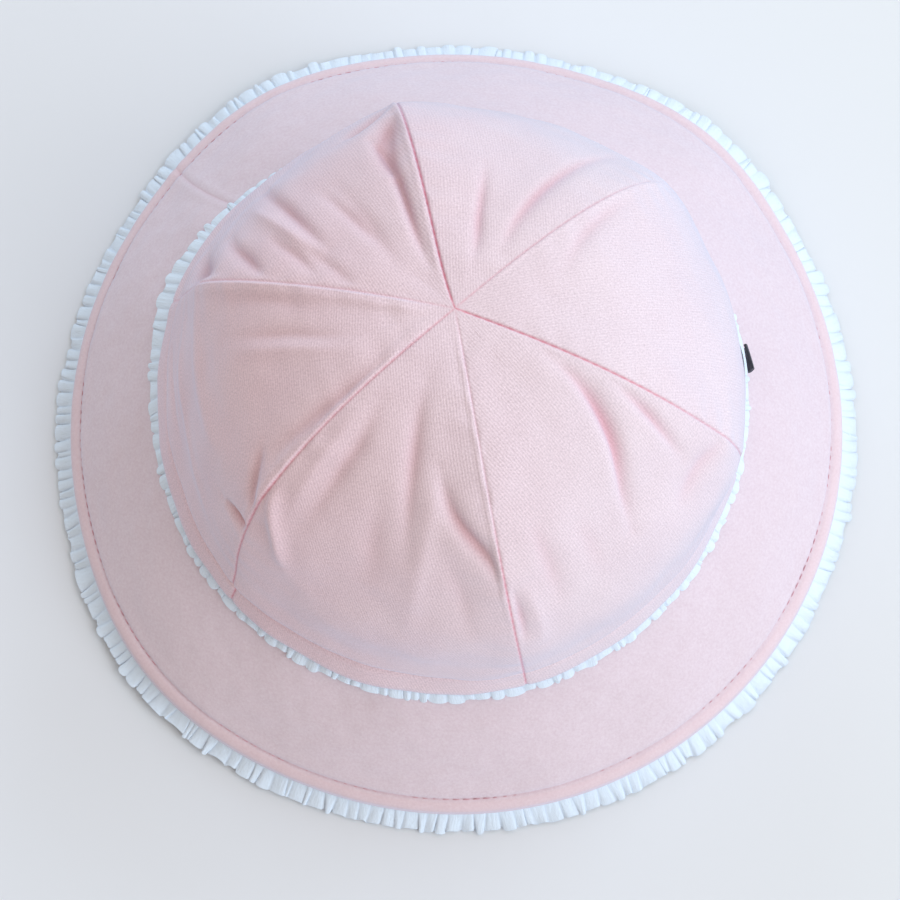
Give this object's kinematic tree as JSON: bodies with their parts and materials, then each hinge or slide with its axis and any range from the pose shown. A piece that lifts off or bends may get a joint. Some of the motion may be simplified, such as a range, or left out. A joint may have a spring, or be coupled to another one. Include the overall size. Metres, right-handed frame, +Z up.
{
  "type": "baby bucket hat",
  "caption": "Soft pink cotton bucket hat for a baby: panelled dome crown with folds, wide drooping brim, and white gathered ruffles round the crown base and brim edge.",
  "frame": {"origin": "on the table, under the middle of the hat's outline", "axes": "+Z up out of the crown's point, +Y towards the back of the hat, +X towards the side with the label"},
  "size_m": [0.2084, 0.2112, 0.107],
  "materials": {
    "pink_twill": "matt cotton twill",
    "pink_brim_cloth": "matt brushed cotton",
    "white_ruffle_cotton": "matt gathered cotton",
    "dark_label_tape": "matt woven tape"
  },
  "bodies": {
    "root": {"crown_panel_right": "pink_twill", "crown_panel_back": "pink_twill", "crown_panel_back_left": "pink_twill", "crown_panel_left": "pink_twill", "crown_panel_front": "pink_twill", "crown_panel_front_right": "pink_twill", "brim": "pink_brim_cloth", "crown_ruffle": "white_ruffle_cotton", "brim_ruffle": "white_ruffle_cotton", "side_label": "dark_label_tape"}
  },
  "joints": []
}
